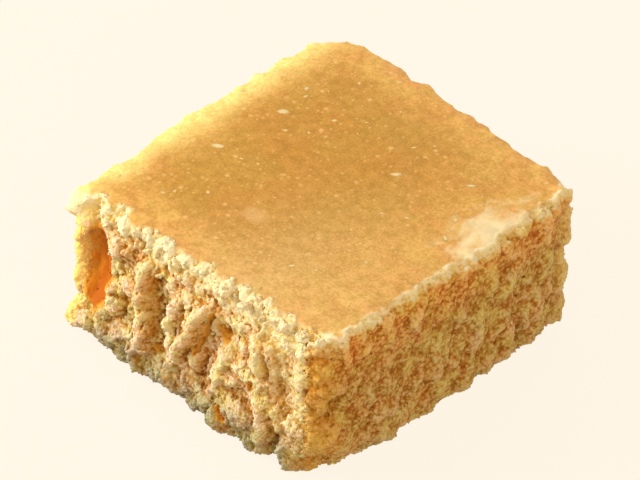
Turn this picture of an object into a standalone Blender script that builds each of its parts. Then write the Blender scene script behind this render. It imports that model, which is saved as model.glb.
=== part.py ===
"""Barfi: one cut square of a set milk sweet, with a smooth skin on top and crumbling broken sides.

Blender 4.5, in metres, +Z up. The sweet rests on z = 0, and its box is centred on the Z axis.
It is one solid, carved from a plain box. Its walls are named for what they look like: the -Y
wall is the most broken one, the +X wall is finer, and the other two are finished like them.
"""

import math
from typing import NamedTuple

import bmesh
import bpy
from mathutils import Vector, noise

# Driving dimensions
LENGTH = 0.0385  # along X
WIDTH = 0.0408  # along Y
HEIGHT = 0.0198
CORNER_RADIUS = {(-1, -1): 0.0012, (1, -1): 0.0024, (1, 1): 0.0022, (-1, 1): 0.0062}
EDGE_RADIUS = 0.0006  # along the top and the base

# The square was cut by hand: how far each corner is off, on X and Y, at the top and at the base
OFF_SQUARE = {
    (-1, -1): ((-0.0006, -0.0001), (-0.0001, -0.0020)),
    (1, -1): ((0.0000, 0.0004), (0.0004, -0.0021)),
    (1, 1): ((0.0000, -0.0014), (-0.0007, -0.0008)),
    (-1, 1): ((-0.0010, -0.0001), (-0.0002, 0.0000)),
}
BOW = 0.0005  # how far the middle of a wall stands out past its corners

# The skin
TOP_CROWN = 0.00030  # how far it falls from the middle to the walls
TOP_WAVE = 0.00009  # its slow unevenness
TOP_WAVE_SIZE = 0.0065
SKIN_REACH = 0.0055  # how far below the top the crumb moves with it

# The broken rim round the skin
RIM_REACH_SIZE = 0.0034  # the length of its tongues
RIM_BITE_SIZE = 0.0016  # the size of the bites in it
RIM_STEP = 1.8  # how sharply the skin ends there
SHOULDER_SIZE = 0.0028

# The crumbled foot of every wall
TUCK_DEPTH = 0.0010
TUCK_HEIGHT = 0.0030
SCALLOP_SIZE = 0.0026

# The lumps of a wall, in shares of its depth or of their size
LUMP_GAP = 0.40  # how wide the gaps are
LUMP_STEP = 0.60  # how far one lump stands behind another
LUMP_CROWN = 0.30  # how far a lump falls away from its crest
LUMP_CROWN_REACH = 0.9
LUMP_BEND = 0.65  # how far they are pushed out of shape
LUMP_BEND_SIZE = 0.0028
MEAN_LUMP = 0.60  # how much of the wall's depth they take up on the whole

# The outlines of the hollows and shards
STROKE_EDGE = 1.25  # how steep their sides are
STROKE_BEND = 0.0003  # how far their outlines wander
STROKE_BEND_SIZE = 0.0016

# How the blank is worked
GRAIN = 0.00040  # spacing of the points that are carved
REACH = 0.0070  # how far behind a wall the crumb is drawn in with it
ROUNDING = 4  # passes that round the carved crests and gaps
FOOT_FLAT = 0.0001  # what rounding lifts off the base by less than this is pressed flat again
TRIANGLES = 11700
SEED = 7  # of the noise that bends lumps and outlines


class Wall(NamedTuple):
    axis: int  # 0 faces along X, 1 along Y
    side: int  # which way along that axis
    lump: tuple  # width and height of its lumps
    depth: float  # of the gaps between the lumps
    shoulder: float  # how far it leans back under the top
    shoulder_height: float
    rim_width: float  # how far the broken rim reaches over the top
    rim_drop: float  # how far that rim is broken down


class Stroke(NamedTuple):
    low: tuple  # its low end: along the wall, above the base
    high: tuple  # its high end
    half_width: float
    depth: float  # into the wall; below zero it is a shard that stands out


WALLS = {
    "broken": Wall(1, -1, (0.0025, 0.0041), 0.00145, 0.0003, 0.0020, 0.0010, 0.0005),
    "fine": Wall(0, 1, (0.0025, 0.0046), 0.00125, 0.0003, 0.0014, 0.0011, 0.0004),
    "left": Wall(0, -1, (0.0025, 0.0042), 0.00120, 0.0005, 0.0024, 0.0016, 0.0007),
    "back": Wall(1, 1, (0.0026, 0.0046), 0.00110, 0.0003, 0.0018, 0.0010, 0.0004),
}

# The hollows, grooves and standing shards that show from a step away
STROKES = {
    "broken": (
        Stroke((-0.0188, 0.0170), (-0.0176, 0.0192), 0.0022, -0.0014),  # lump at the left corner
        Stroke((-0.0153, 0.0164), (-0.0150, 0.0198), 0.0008, 0.0007),  # notch beside it
        Stroke((-0.0155, 0.0088), (-0.0156, 0.0136), 0.0024, 0.0026),  # the deep hollow
        Stroke((-0.0147, 0.0060), (-0.0112, 0.0072), 0.0010, -0.0009),  # shelf under it
        Stroke((-0.0190, 0.0052), (-0.0164, 0.0048), 0.0010, 0.0009),
        Stroke((-0.0184, 0.0020), (-0.0160, 0.0026), 0.0016, -0.0010),  # bulge at the left foot
        Stroke((-0.0101, 0.0064), (-0.0098, 0.0086), 0.0012, 0.0018),
        Stroke((-0.0068, 0.0052), (-0.0074, 0.0150), 0.0013, -0.0012),  # the tallest shard
        Stroke((-0.0043, 0.0060), (-0.0054, 0.0144), 0.0010, 0.0022),
        Stroke((-0.0031, 0.0078), (-0.0020, 0.0124), 0.0011, -0.0011),
        Stroke((-0.0013, 0.0128), (-0.0024, 0.0152), 0.0009, 0.0013),
        Stroke((-0.0026, 0.0054), (0.0014, 0.0146), 0.0010, -0.0012),  # the slanting shard
        Stroke((0.0020, 0.0052), (0.0029, 0.0116), 0.0012, 0.0020),
        Stroke((0.0046, 0.0131), (0.0056, 0.0137), 0.0013, 0.0018),
        Stroke((0.0048, 0.0072), (0.0056, 0.0104), 0.0012, -0.0008),
        Stroke((0.0070, 0.0066), (0.0095, 0.0058), 0.0011, 0.0017),
        Stroke((0.0102, 0.0066), (0.0108, 0.0142), 0.0012, -0.0009),
        Stroke((0.0122, 0.0000), (0.0126, 0.0044), 0.0011, 0.0013),
        Stroke((0.0140, 0.0080), (0.0134, 0.0120), 0.0009, 0.0010),
        Stroke((0.0196, 0.0000), (0.0192, 0.0018), 0.0028, 0.0012),  # the front corner's worn foot
    ),
    "fine": (
        Stroke((-0.0206, 0.0000), (-0.0200, 0.0012), 0.0036, 0.0020),
        Stroke((-0.0166, 0.0000), (-0.0142, 0.0004), 0.0030, 0.0015),
        Stroke((-0.0186, 0.0084), (-0.0184, 0.0112), 0.0013, 0.0010),
        Stroke((-0.0128, 0.0050), (-0.0122, 0.0084), 0.0011, 0.0011),
        Stroke((-0.0070, 0.0026), (-0.0066, 0.0060), 0.0010, 0.0009),
        Stroke((-0.0030, 0.0068), (-0.0024, 0.0112), 0.0010, -0.0007),
        Stroke((0.0006, 0.0074), (0.0010, 0.0110), 0.0010, 0.0010),
        Stroke((0.0036, 0.0064), (0.0042, 0.0112), 0.0009, -0.0007),
        Stroke((0.0084, 0.0142), (0.0086, 0.0154), 0.0012, 0.0010),
        Stroke((0.0106, 0.0030), (0.0112, 0.0070), 0.0012, 0.0010),
        Stroke((0.0134, 0.0022), (0.0138, 0.0056), 0.0010, -0.0006),
        Stroke((0.0174, 0.0070), (0.0180, 0.0150), 0.0009, 0.0011),
    ),
    "left": (
        Stroke((-0.0204, 0.0050), (-0.0176, 0.0054), 0.0010, 0.0010),
        Stroke((-0.0204, 0.0020), (-0.0170, 0.0022), 0.0014, -0.0009),
        Stroke((-0.0110, 0.0070), (-0.0104, 0.0128), 0.0018, 0.0017),
        Stroke((-0.0074, 0.0056), (-0.0070, 0.0136), 0.0012, -0.0009),
        Stroke((-0.0128, 0.0186), (-0.0122, 0.0198), 0.0010, 0.0009),
        Stroke((0.0008, 0.0044), (0.0002, 0.0096), 0.0013, 0.0015),
        Stroke((0.0062, 0.0188), (0.0066, 0.0198), 0.0010, 0.0009),
        Stroke((0.0088, 0.0080), (0.0096, 0.0148), 0.0013, -0.0009),
    ),
    "back": (
        Stroke((-0.0092, 0.0060), (-0.0088, 0.0106), 0.0013, 0.0012),
        Stroke((-0.0034, 0.0062), (-0.0030, 0.0126), 0.0012, -0.0008),
        Stroke((0.0044, 0.0080), (0.0040, 0.0132), 0.0011, 0.0011),
        Stroke((0.0120, 0.0050), (0.0126, 0.0110), 0.0012, 0.0011),
    ),
}


def clamp(value):
    return max(0.0, min(1.0, value))


def smooth(value):
    value = clamp(value)
    return value * value * (3.0 - 2.0 * value)


def uneven(place, size, swing):
    """A factor that wanders about 0.75, over lengths of this size."""
    return max(0.1, 0.75 + swing * noise.noise(place / size))


def lumps(wall, place):
    """From 0 on the crest of the lump that stands out most to 1 in the gaps between lumps."""
    width, height = wall.lump
    size = Vector((width, width, height))
    bend = noise.noise_vector(place / LUMP_BEND_SIZE) * LUMP_BEND
    spot = Vector(place[i] / size[i] + bend[i] for i in range(3))
    distances, centres = noise.voronoi(spot)
    gap = 1.0 - smooth((distances[1] - distances[0]) / LUMP_GAP)
    set_back = 0.5 + 0.5 * noise.cell(centres[0] * 10.0)
    crown = clamp(distances[0] / LUMP_CROWN_REACH) ** 2
    return gap + (1.0 - gap) * (LUMP_STEP * set_back + LUMP_CROWN * crown)


def stroke_depth(stroke, along, height):
    """What one hollow or shard adds here, from the distance to its middle line."""
    run_along = stroke.high[0] - stroke.low[0]
    run_up = stroke.high[1] - stroke.low[1]
    from_low = (along - stroke.low[0]) * run_along + (height - stroke.low[1]) * run_up
    share = clamp(from_low / (run_along**2 + run_up**2))
    off_along = along - stroke.low[0] - share * run_along
    off_up = height - stroke.low[1] - share * run_up
    off = math.hypot(off_along, off_up) / stroke.half_width
    return stroke.depth * smooth(STROKE_EDGE * (1.0 - off))


def wall_depth(name, wall, place):
    """How far in the wall stands at this place, from its mean plane."""
    along = place[1 - wall.axis]
    height = place.z
    half_length = (WIDTH, LENGTH)[wall.axis] / 2
    depth = wall.depth * (lumps(wall, place) - MEAN_LUMP)
    depth -= BOW * (1.0 - (along / half_length) ** 2)

    bend = noise.noise_vector(place / STROKE_BEND_SIZE) * STROKE_BEND
    for stroke in STROKES[name]:
        depth += stroke_depth(stroke, along + bend.x, height + bend.z)

    lean = smooth(1.0 - (HEIGHT - height) / wall.shoulder_height)
    depth += wall.shoulder * lean * uneven(place, SHOULDER_SIZE, 0.8)

    foot = clamp(1.0 - height / TUCK_HEIGHT) ** 2
    below = Vector((place.x, place.y, 0.0))
    return depth + TUCK_DEPTH * foot * uneven(below, SCALLOP_SIZE, 1.0)


def rim_fall(wall, place, from_wall):
    """How far the top is broken down at this distance from a wall."""
    over_top = Vector((place.x, place.y, 0.0))
    reach = wall.rim_width * uneven(over_top, RIM_REACH_SIZE, 0.8)
    broken = smooth(RIM_STEP * (1.0 - from_wall / reach))
    return wall.rim_drop * broken * uneven(over_top, RIM_BITE_SIZE, 0.9)


def top_height(x, y):
    """The skin: a low crown with slow waves."""
    across = max(abs(x) / (LENGTH / 2), abs(y) / (WIDTH / 2))
    wave = noise.noise(Vector((x, y, 0.0)) / TOP_WAVE_SIZE)
    return HEIGHT - TOP_CROWN * across**3 - TOP_WAVE * (0.5 - wave)


def carved(point):
    """Where a point of the blank ends up once walls, rim and skin are carved."""
    half = (LENGTH / 2, WIDTH / 2)
    moved = point.copy()
    fall = 0.0
    for name, wall in WALLS.items():
        from_wall = half[wall.axis] - wall.side * point[wall.axis]
        if from_wall < REACH:
            place = point.copy()
            place[wall.axis] = wall.side * half[wall.axis]
            share = smooth(1.0 - from_wall / REACH)
            moved[wall.axis] -= wall.side * share * wall_depth(name, wall, place)
            fall = max(fall, rim_fall(wall, point, max(0.0, from_wall)))
    near_top = smooth(1.0 - (HEIGHT - point.z) / SKIN_REACH)
    moved.z -= near_top * (HEIGHT - top_height(point.x, point.y) + fall)
    return moved


def set_out(point):
    """Carries a point of the true box onto the corners as they were cut."""
    up = point.z / HEIGHT
    moved = point.copy()
    for (side_x, side_y), (top, base) in OFF_SQUARE.items():
        share = (0.5 + side_x * point.x / LENGTH) * (0.5 + side_y * point.y / WIDTH)
        for axis in (0, 1):
            moved[axis] += share * (up * top[axis] + (1.0 - up) * base[axis])
    return moved


def apply_modifiers(block):
    """Makes the modified shape the object's own mesh."""
    graph = bpy.context.evaluated_depsgraph_get()
    finished = bpy.data.meshes.new_from_object(block.evaluated_get(graph))
    rough = block.data
    block.modifiers.clear()
    block.data = finished
    bpy.data.meshes.remove(rough)


def blank():
    """The plain cut square: a box with its own rounding at each corner."""
    mesh = bpy.data.meshes.new("barfi")
    block = bpy.data.objects.new("barfi", mesh)
    shape = bmesh.new()
    bmesh.ops.create_cube(shape, size=1.0)
    bmesh.ops.scale(shape, vec=(LENGTH, WIDTH, HEIGHT), verts=shape.verts)
    bmesh.ops.translate(shape, vec=(0.0, 0.0, HEIGHT / 2), verts=shape.verts)
    weight = shape.edges.layers.float.new("bevel_weight_edge")
    largest = max(CORNER_RADIUS.values())
    for edge in shape.edges:
        low, high = (corner.co for corner in edge.verts)
        if abs(low.z - high.z) > HEIGHT / 2:
            corner = (int(math.copysign(1, low.x)), int(math.copysign(1, low.y)))
            edge[weight] = CORNER_RADIUS[corner] / largest
    shape.to_mesh(mesh)
    shape.free()

    corners = block.modifiers.new("corners", "BEVEL")
    corners.limit_method = "WEIGHT"
    corners.width = largest
    corners.segments = 6
    edges = block.modifiers.new("edges", "BEVEL")
    edges.limit_method = "ANGLE"
    edges.angle_limit = math.radians(60)
    edges.width = EDGE_RADIUS
    edges.segments = 2
    grid = block.modifiers.new("grid", "REMESH")
    grid.mode = "VOXEL"
    grid.voxel_size = GRAIN
    return block


def crumble(block):
    """Carves the walls, the rim and the skin into the blank."""
    for corner in block.data.vertices:
        corner.co = set_out(carved(corner.co))
    rounded = block.modifiers.new("rounded", "SMOOTH")
    rounded.factor = 0.5
    rounded.iterations = ROUNDING


def lighten(block):
    """Keeps the triangles where the relief is, and few on the flat base and skin."""
    block.data.calc_loop_triangles()
    fewer = block.modifiers.new("fewer", "DECIMATE")
    fewer.ratio = TRIANGLES / len(block.data.loop_triangles)


def centre(block):
    """Puts the middle of the box on the Z axis and the base flat on z = 0."""
    places = [corner.co for corner in block.data.vertices]
    middle_x, middle_y = ((min(p[i] for p in places) + max(p[i] for p in places)) / 2 for i in (0, 1))
    off = Vector((middle_x, middle_y, min(p.z for p in places)))
    for corner in block.data.vertices:
        corner.co -= off
        if corner.co.z < FOOT_FLAT:
            corner.co.z = 0.0


def crumb_material():
    """Golden milk crumb."""
    material = bpy.data.materials.new("barfi_crumb")
    material.use_nodes = True
    shader = material.node_tree.nodes["Principled BSDF"]
    shader.inputs["Base Color"].default_value = (0.78, 0.44, 0.13, 1.0)
    shader.inputs["Roughness"].default_value = 0.62
    shader.inputs["Metallic"].default_value = 0.0
    shader.inputs["Subsurface Weight"].default_value = 0.4
    shader.inputs["Subsurface Scale"].default_value = 0.002
    return material


def main():
    for old in list(bpy.data.objects):
        bpy.data.objects.remove(old)
    noise.seed_set(SEED)
    sweet = bpy.data.collections.new("Barfi")
    bpy.context.scene.collection.children.link(sweet)
    block = blank()
    sweet.objects.link(block)
    apply_modifiers(block)
    crumble(block)
    lighten(block)
    apply_modifiers(block)
    centre(block)
    block.data.materials.append(crumb_material())
    block.data.shade_smooth()
    block.data.set_sharp_from_angle(angle=math.radians(50))


main()
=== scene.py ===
"""A square of barfi: a smooth golden skin on top, and broken walls of pale crumb, with painted orange glow
and shade in their hollow and cracks.

Lengths are in millimetres, and are turned to metres as objects and materials are made. Only the scale
of a noise or of cells is per metre.
"""

import itertools
import math
from concurrent.futures import ThreadPoolExecutor

import bmesh
import bpy
import numpy as np
import openvdb
from mathutils import Matrix, Vector
from mathutils.bvhtree import BVHTree


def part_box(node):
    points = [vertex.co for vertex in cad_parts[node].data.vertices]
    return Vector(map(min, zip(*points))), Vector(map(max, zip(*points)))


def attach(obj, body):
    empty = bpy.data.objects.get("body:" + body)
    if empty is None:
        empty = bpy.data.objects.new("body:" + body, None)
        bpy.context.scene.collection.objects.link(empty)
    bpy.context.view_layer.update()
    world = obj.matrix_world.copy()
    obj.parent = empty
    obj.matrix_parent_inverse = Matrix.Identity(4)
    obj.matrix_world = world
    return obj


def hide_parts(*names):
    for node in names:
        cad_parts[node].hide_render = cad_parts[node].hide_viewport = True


MM = 0.001

# Where the photograph was taken from
AZIMUTH = 44.05  # degrees
ELEVATION = 39.9
ROLL = 1.35
DISTANCE = 760.0
LOOKS_AT = (0.0, 0.0, 9.75)
FOCAL = 388.1  # on a sensor of this width
SENSOR_WIDTH = 36.0
ASIDE = -0.286  # how far the camera stands off its line of sight, to frame the sweet as shown
RAISED = 1.454
NEAREST_SEEN = 10.0
FARTHEST_SEEN = 20000.0

# The light: where each lamp lies, how far off and how large it is, its watts and its colour
LAMPS = (
    ("key", (-0.70, -0.58, 0.46), 300.0, 200.0, 1.11, (1.0, 0.94, 0.86)),
    ("back", (-0.50, 0.80, 0.60), 300.0, 160.0, 0.22, (1.0, 0.97, 0.92)),
    ("fill", (0.95, -0.25, 0.45), 350.0, 300.0, 0.42, (1.0, 0.89, 0.74)),
)
SKY_COLOUR = (1.0, 0.84, 0.63, 1.0)
SKY_STRENGTH = 0.585
FLOOR_HALF = 1500.0
FLOOR_COLOUR = (0.06, 0.055, 0.048)
FLOOR_GLOW = (1.0, 0.922, 0.80)
FLOOR_GLOW_STRENGTH = 0.945

# The grid that the body is carved on
STEP = 0.14
BAND = 17  # how many steps the distance is known for on either side of the surface
FACET_BLUR = 0.24  # rounds the facets of the solid
SLOPE_BLUR = 0.65
DEEPEST_GAP = 0.32  # what lies deeper than this under the wall's smoothed surface is filled
GAP_BLUR = 1.8
BODY_TRIANGLES = 196000

# The skin
FRONT_CORNER = (18.8, -19.6)  # on X and Y
CORNER_REACH = (30.0, 30.0)  # how far round that corner the skin is paler, as painted glow
CUT_BELOW_TOP = 1.2  # how far under the top its outline is read
LEVEL_FROM = 2.8  # how far in from the rim the surface counts for the crown
SKIN_BLUR = 1.45

# The crumb: sizes of its fragments on X, Y and Z, and how far they stand out
CRUMB_BAND = 0.95  # how deep the surface is reworked
SHARD = (1.15, 1.15, 3.0)
FLAKE = (1.9, 1.3, 1.2)
FINE = (0.66, 0.66, 0.80)
SAND = 0.36
TILT = 1.3  # how far the fragments lean
STROKES = (  # shards and cracks of the broken wall: X and Z at both ends, half width, how far out
    (-6.8, 15.8, -6.4, 12.0, 0.65, 0.50),
    (-6.4, 12.0, -5.6, 10.1, 0.70, 0.55),
    (-5.6, 10.1, -4.9, 6.7, 0.70, 0.50),
    (-1.9, 13.5, -2.3, 11.2, 0.90, 0.50),
    (-2.3, 11.2, -1.6, 9.7, 0.70, 0.40),
    (2.5, 15.3, 0.8, 11.2, 0.60, 0.45),
    (0.8, 11.2, -0.6, 8.5, 0.75, 0.50),
    (-15.2, 6.9, -11.6, 8.4, 0.55, 0.50),
    (-11.6, 8.4, -9.9, 7.9, 0.50, 0.40),
    (-11.1, 16.4, -12.1, 11.8, 0.70, 0.40),
    (10.5, 14.9, 11.3, 12.1, 0.70, 0.45),
    (12.2, 15.2, 12.8, 11.7, 0.60, 0.45),
    (-5.9, 7.6, -7.7, 3.7, 0.60, 0.35),
    (-2.6, 8.1, -0.5, 5.9, 0.60, 0.35),
    (4.1, 8.7, 6.3, 7.6, 0.60, 0.40),
    (-4.4, 10.4, -3.0, 7.6, 0.32, -0.60),
    (-0.8, 12.4, -0.6, 10.8, 0.30, -0.50),
    (3.5, 14.9, 1.6, 10.0, 0.35, -0.60),
    (1.6, 10.0, 1.2, 8.4, 0.35, -0.50),
    (-4.9, 5.3, -1.6, 6.4, 0.30, -0.50),
    (4.6, 12.9, 4.9, 12.3, 0.90, -0.60),
    (3.9, 9.1, 4.1, 8.6, 0.60, -0.50),
    (10.1, 9.7, 9.5, 8.5, 0.60, -0.50),
    (-8.3, 9.5, -7.9, 8.4, 0.45, -0.60),
    (5.0, 3.4, 6.1, 2.2, 0.35, -0.40),
)
STROKE_EDGE = 1.9  # how steep their sides are
PIT_DEPTH = 0.35  # a crack this deep shows the hollow's painted orange glow and shade in full
HOLLOW = (-14.6, 10.7)  # on X and Z: where a piece has come away from the broken wall and left it smooth
HOLLOW_SIZE = (2.8, 6.8)

# Crumbs that have gathered on the two broken rims
RIM_LUMPS = (  # the marked ones, on X and Y
    (-16.7, -20.0), (-10.2, -19.6), (-6.8, -19.9), (-4.4, -19.8), (-1.2, -19.9), (1.0, -19.8),
    (4.8, -20.1), (7.8, -20.2), (11.6, -20.4), (13.3, -19.4), (15.7, -19.4), (17.9, -18.6),
    (19.2, -16.1), (19.4, -11.9), (19.0, -6.4), (19.2, -7.6), (19.2, -2.8), (19.3, -0.1),
    (19.2, 1.6), (19.2, 2.8), (19.2, 4.2), (19.1, 5.6), (19.0, 6.9), (18.4, 9.2), (18.7, 11.4),
    (18.6, 14.6),
)
RIM_LUMP_HEIGHT = 19.1
RIGHT_RIM = 18.9  # on X: no marked crumb sits further out
RIM_LUMP_REACH = 1.2  # how far around them the crumb is whiter
RIM_LUMP_RADIUS = (0.36, 0.66)
RIM_LUMP_SUNK = 0.45  # how much of their radius is sunk in
RIM_FROM = 18.5  # the others sit where the walls reach this height
CRUMBS = 240
CRUMB_RADIUS = (0.22, 0.85)
CRUMB_SUNK = 0.70
RIGHT_CRUMBS = 0.10  # how thickly they lie on the right rim, against 1 on the left one
LEFT_RIM_ENDS = -18.0  # on Y
CRUMB_BEND = 0.30  # how far they are bent out of round
CRUMB_BEND_SIZE = 0.75
FILLET = 0.40  # how softly they are joined to what they sit on
HIGHEST = 19.4  # no crumb on the rim is set higher than this, before it is roughened
PIT_BLUR = 0.45
DEEPEST_PIT = 0.12  # narrow pits between the crumbs are filled to this

# Loose grains on the walls
GRAINS = 7000
GRAIN_RADIUS = (0.08, 0.20)
GRAIN_NUMBERS = ("fine", "broad", "skin", "pale", "corner", "calm", "shaded", "hollow")

# Pale slivers in the skin
FLECKS = (  # the larger ones: place, half their length, and the way they point in degrees
    (-12.0, 5.6, 0.75, 40.0),
    (-12.7, -3.8, 0.90, 35.0),
    (4.4, 6.7, 0.70, 45.0),
    (11.4, 11.3, 0.65, 45.0),
    (8.0, 0.9, 0.35, 20.0),
    (7.4, -12.4, 0.45, 60.0),
    (15.6, 2.9, 0.55, -30.0),
)
SMALL_FLECKS = 45
SMALL_FLECK_LENGTH = (0.16, 0.40)
FLECK_MARGIN = 2.2  # how far in from the sides the small ones lie
FLECK_MARGIN_RIGHT = 6.0
FLECK_SLENDER = 0.55  # a sliver's width for its length
FLECK_HEIGHT = 0.02

# Colours, as linear red, green and blue. A tint multiplies the colour that it is laid over.
WHITE = (1.0, 1.0, 1.0)
AMBER = ((0.52, 0.262, 0.050), (0.51, 0.286, 0.056))
LIGHT_AMBER = ((0.68, 0.352, 0.096), (0.73, 0.45, 0.126))
CORNER_AMBER = (0.66, 0.470, 0.205)
LEFT_YELLOW = (0.95, 0.75, 0.27)
CLOUD_TINTS = ((0.80, 0.79, 0.62), (1.12, 1.13, 1.22))
SPECK = (0.82, 0.54, 0.22)
DUST = (0.79, 0.50, 0.18)
HAZE = (18.4, 7.4)  # middle of the pale patch by the rim
HAZE_SIZE = (4.8, 6.6)
HAZE_COLOUR = (0.85, 0.76, 0.49)
SMUDGE = (-1.3, -9.3)
SMUDGE_SIZE = (1.9, 1.5)
SMUDGE_COLOUR = (0.78, 0.52, 0.24)
LIP_COLOUR = (0.98, 0.90, 0.60)
FLECK_COLOURS = ((0.66, 0.37, 0.085), (0.88, 0.63, 0.30))
# Painted shade in the crumb's gaps and painted highlight on its crests, over the crumb's own tan
WALL_COLOURS = (  # from the bottom of the crumb's gaps to the tips of its crests
    (0.05, (0.41, 0.170, 0.013)),
    (0.30, (0.56, 0.315, 0.075)),
    (0.50, (0.70, 0.505, 0.225)),
    (0.72, (0.78, 0.64, 0.37)),
    (0.95, (0.81, 0.70, 0.48)),
)
CRACK_SHADE_TINT = (0.78, 0.66, 0.46)
PATCH_TINTS = ((1.06, 0.94, 0.98), (0.98, 1.05, 0.88))
FOOT_TINT = (0.43, 0.48, 0.49)
# Painted shade on the right wall and the slanted corner, warmer high up on them
SHADED_TINT = (0.81, 0.67, 0.36)
SHADED_TOP_TINT = (1.30, 1.12, 0.90)
NEAR_EDGE_SHADE_COLOUR = (0.74, 0.34, 0.034)
FAR_EDGE_COLOUR = (0.84, 0.56, 0.180)
LEFT_STRIP_COLOUR = (0.97, 0.68, 0.19)
CRUST_COLOUR = (0.90, 0.68, 0.240)
CRUST_CREST_HIGHLIGHT_COLOUR = (0.88, 0.79, 0.54)
# Painted orange glow and shade in the hollow and the cracks
HOLLOW_EDGE_COLOUR = (0.80, 0.40, 0.050)
HOLLOW_GLOW_COLOURS = ((0.76, 0.30, 0.018), (0.46, 0.115, 0.002))

# How far light sinks in, for red, green and blue
SINK_RADIUS = (1.0, 0.6, 0.3)
SINK_SCALE = 0.4
GRAIN_SCALE = 2300.0  # of the grains that the walls' colour and bump show

SEED = 11
PART = 40000  # places that one core works on at a time
SLABS = 16  # slices of the grid that are blurred one by one
RIM_PART = 4096  # cells that are measured to the rim at a time


def eased(share):
    share = np.clip(share, 0.0, 1.0)
    return share * share * (3.0 - 2.0 * share)


def rising(value, start, over):
    """0 up to start, and eased to 1 over this much more. Over is negative where it rises downwards."""
    return eased((value - start) / over)


def hashed(seed, channels):
    """A block of random numbers from 0 to 1 that repeats every 32 cells."""
    return np.random.default_rng(seed).random((32, 32, 32, channels), dtype=np.float32)


def looked_up(table, cell):
    wrapped = cell & 31
    return table[wrapped[:, 0], wrapped[:, 1], wrapped[:, 2]]


def value_noise(places, size, seed, channels=1):
    """Smooth noise from -1 to 1 over lengths of this size."""
    table = hashed(seed, channels)
    spot = places / np.float32(size)
    home = np.floor(spot).astype(np.int32)
    share = eased(spot - home).astype(np.float32)
    total = np.zeros((len(places), channels), np.float32)
    for corner in itertools.product((0, 1), repeat=3):
        weight = np.ones(len(places), np.float32)
        for axis, high in enumerate(corner):
            weight *= share[:, axis] if high else 1.0 - share[:, axis]
        total += weight[:, None] * looked_up(table, home + np.array(corner, np.int32))
    return 2.0 * total - 1.0


def in_parts(work, places, *more):
    """Runs work over slices of the places on every core, and joins what it gives."""
    starts = range(0, len(places), PART)
    with ThreadPoolExecutor() as pool:
        slices = [slice(start, start + PART) for start in starts]
        done = list(pool.map(lambda cut: work(places[cut], *(other[cut] for other in more)), slices))
    return np.concatenate(done)


def fragments(places, size, seed, gap):
    """Broken bits: each stands at its own height and tilt, and falls to 0 in the gaps between them."""
    table = hashed(seed, 7)
    spot = places / np.asarray(size, np.float32)
    home = np.floor(spot).astype(np.int32)
    first = np.full(len(places), 9.0, np.float32)
    second = first.copy()
    nearest = np.zeros((len(places), 7), np.float32)
    for around in itertools.product((-1, 0, 1), repeat=3):
        cell = home + np.array(around, np.int32)
        drawn = looked_up(table, cell)
        drawn[:, :3] = spot - cell - drawn[:, :3]
        distance = np.sqrt(np.einsum("ij,ij->i", drawn[:, :3], drawn[:, :3]))
        nearer = distance < first
        second = np.where(nearer, first, np.minimum(second, distance))
        first = np.where(nearer, distance, first)
        nearest[nearer] = drawn[nearer]
    tilt = ((nearest[:, 4:] - 0.5) * nearest[:, :3]).sum(1)
    height = 0.25 + 0.6 * nearest[:, 3] + TILT * tilt
    return eased((second - first) / gap) * height


def blurred_along(values, axis, taps):
    reach = len(taps) // 2
    padding = [(0, 0)] * values.ndim
    padding[axis] = (reach, reach)
    padded = np.pad(values, padding, mode="edge")
    length = values.shape[axis]
    total = np.zeros_like(values)
    for i, tap in enumerate(taps):
        cut = [slice(None)] * values.ndim
        cut[axis] = slice(i, i + length)
        total += tap * padded[tuple(cut)]
    return total


def blurred(values, size):
    """A Gaussian blur along every axis, over lengths of this size, on every core."""
    sigma = size / STEP
    reach = int(math.ceil(2.5 * sigma))
    taps = np.exp(-0.5 * (np.arange(-reach, reach + 1) / sigma) ** 2)
    taps = (taps / taps.sum()).astype(np.float32)
    for axis in range(values.ndim):
        other = (axis + 1) % values.ndim
        slabs = np.array_split(values, SLABS, axis=other)
        with ThreadPoolExecutor() as pool:
            slabs = list(pool.map(lambda slab: blurred_along(slab, axis, taps), slabs))
        values = np.concatenate(slabs, axis=other)
    return values


def sampled(values, low, places):
    """The grid's values at these places, blended from the samples around each."""
    spot = (places - low) / np.float32(STEP)
    top = np.array(values.shape) - 2
    home = np.clip(np.floor(spot).astype(np.int32), 0, top)
    share = np.clip(spot - home, 0.0, 1.0)
    total = np.zeros(len(places), np.float32)
    for corner in itertools.product((0, 1), repeat=values.ndim):
        weight = np.ones(len(places), np.float32)
        for axis, high in enumerate(corner):
            weight *= share[:, axis] if high else 1.0 - share[:, axis]
        at = tuple(home[:, axis] + high for axis, high in enumerate(corner))
        total += weight * values[at]
    return total


def link(piece):
    bpy.context.scene.collection.objects.link(piece)
    return piece


def places_of(mesh):
    places = np.empty(len(mesh.vertices) * 3, np.float32)
    mesh.vertices.foreach_get("co", places)
    return places.reshape(-1, 3) / MM


def triangles_of(mesh):
    mesh.calc_loop_triangles()
    corners = np.empty(len(mesh.loop_triangles) * 3, np.int32)
    mesh.loop_triangles.foreach_get("vertices", corners)
    return corners.reshape(-1, 3)


def keep_number(mesh, name, values):
    layer = mesh.attributes.new(name, "FLOAT", "POINT")
    layer.data.foreach_set("value", np.ascontiguousarray(values, np.float32))


def number_of(mesh, name):
    values = np.empty(len(mesh.vertices), np.float32)
    mesh.attributes[name].data.foreach_get("value", values)
    return values


def new_mesh(name, places, faces):
    """A mesh of faces that all have the same number of corners."""
    mesh = bpy.data.meshes.new(name)
    mesh.vertices.add(len(places))
    mesh.vertices.foreach_set("co", (places * MM).astype(np.float32).ravel())
    mesh.loops.add(faces.size)
    mesh.loops.foreach_set("vertex_index", faces.astype(np.int32).ravel())
    mesh.polygons.add(len(faces))
    mesh.polygons.foreach_set("loop_start", np.arange(0, faces.size, faces.shape[1], dtype=np.int32))
    mesh.update(calc_edges=True)
    return mesh


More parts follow.
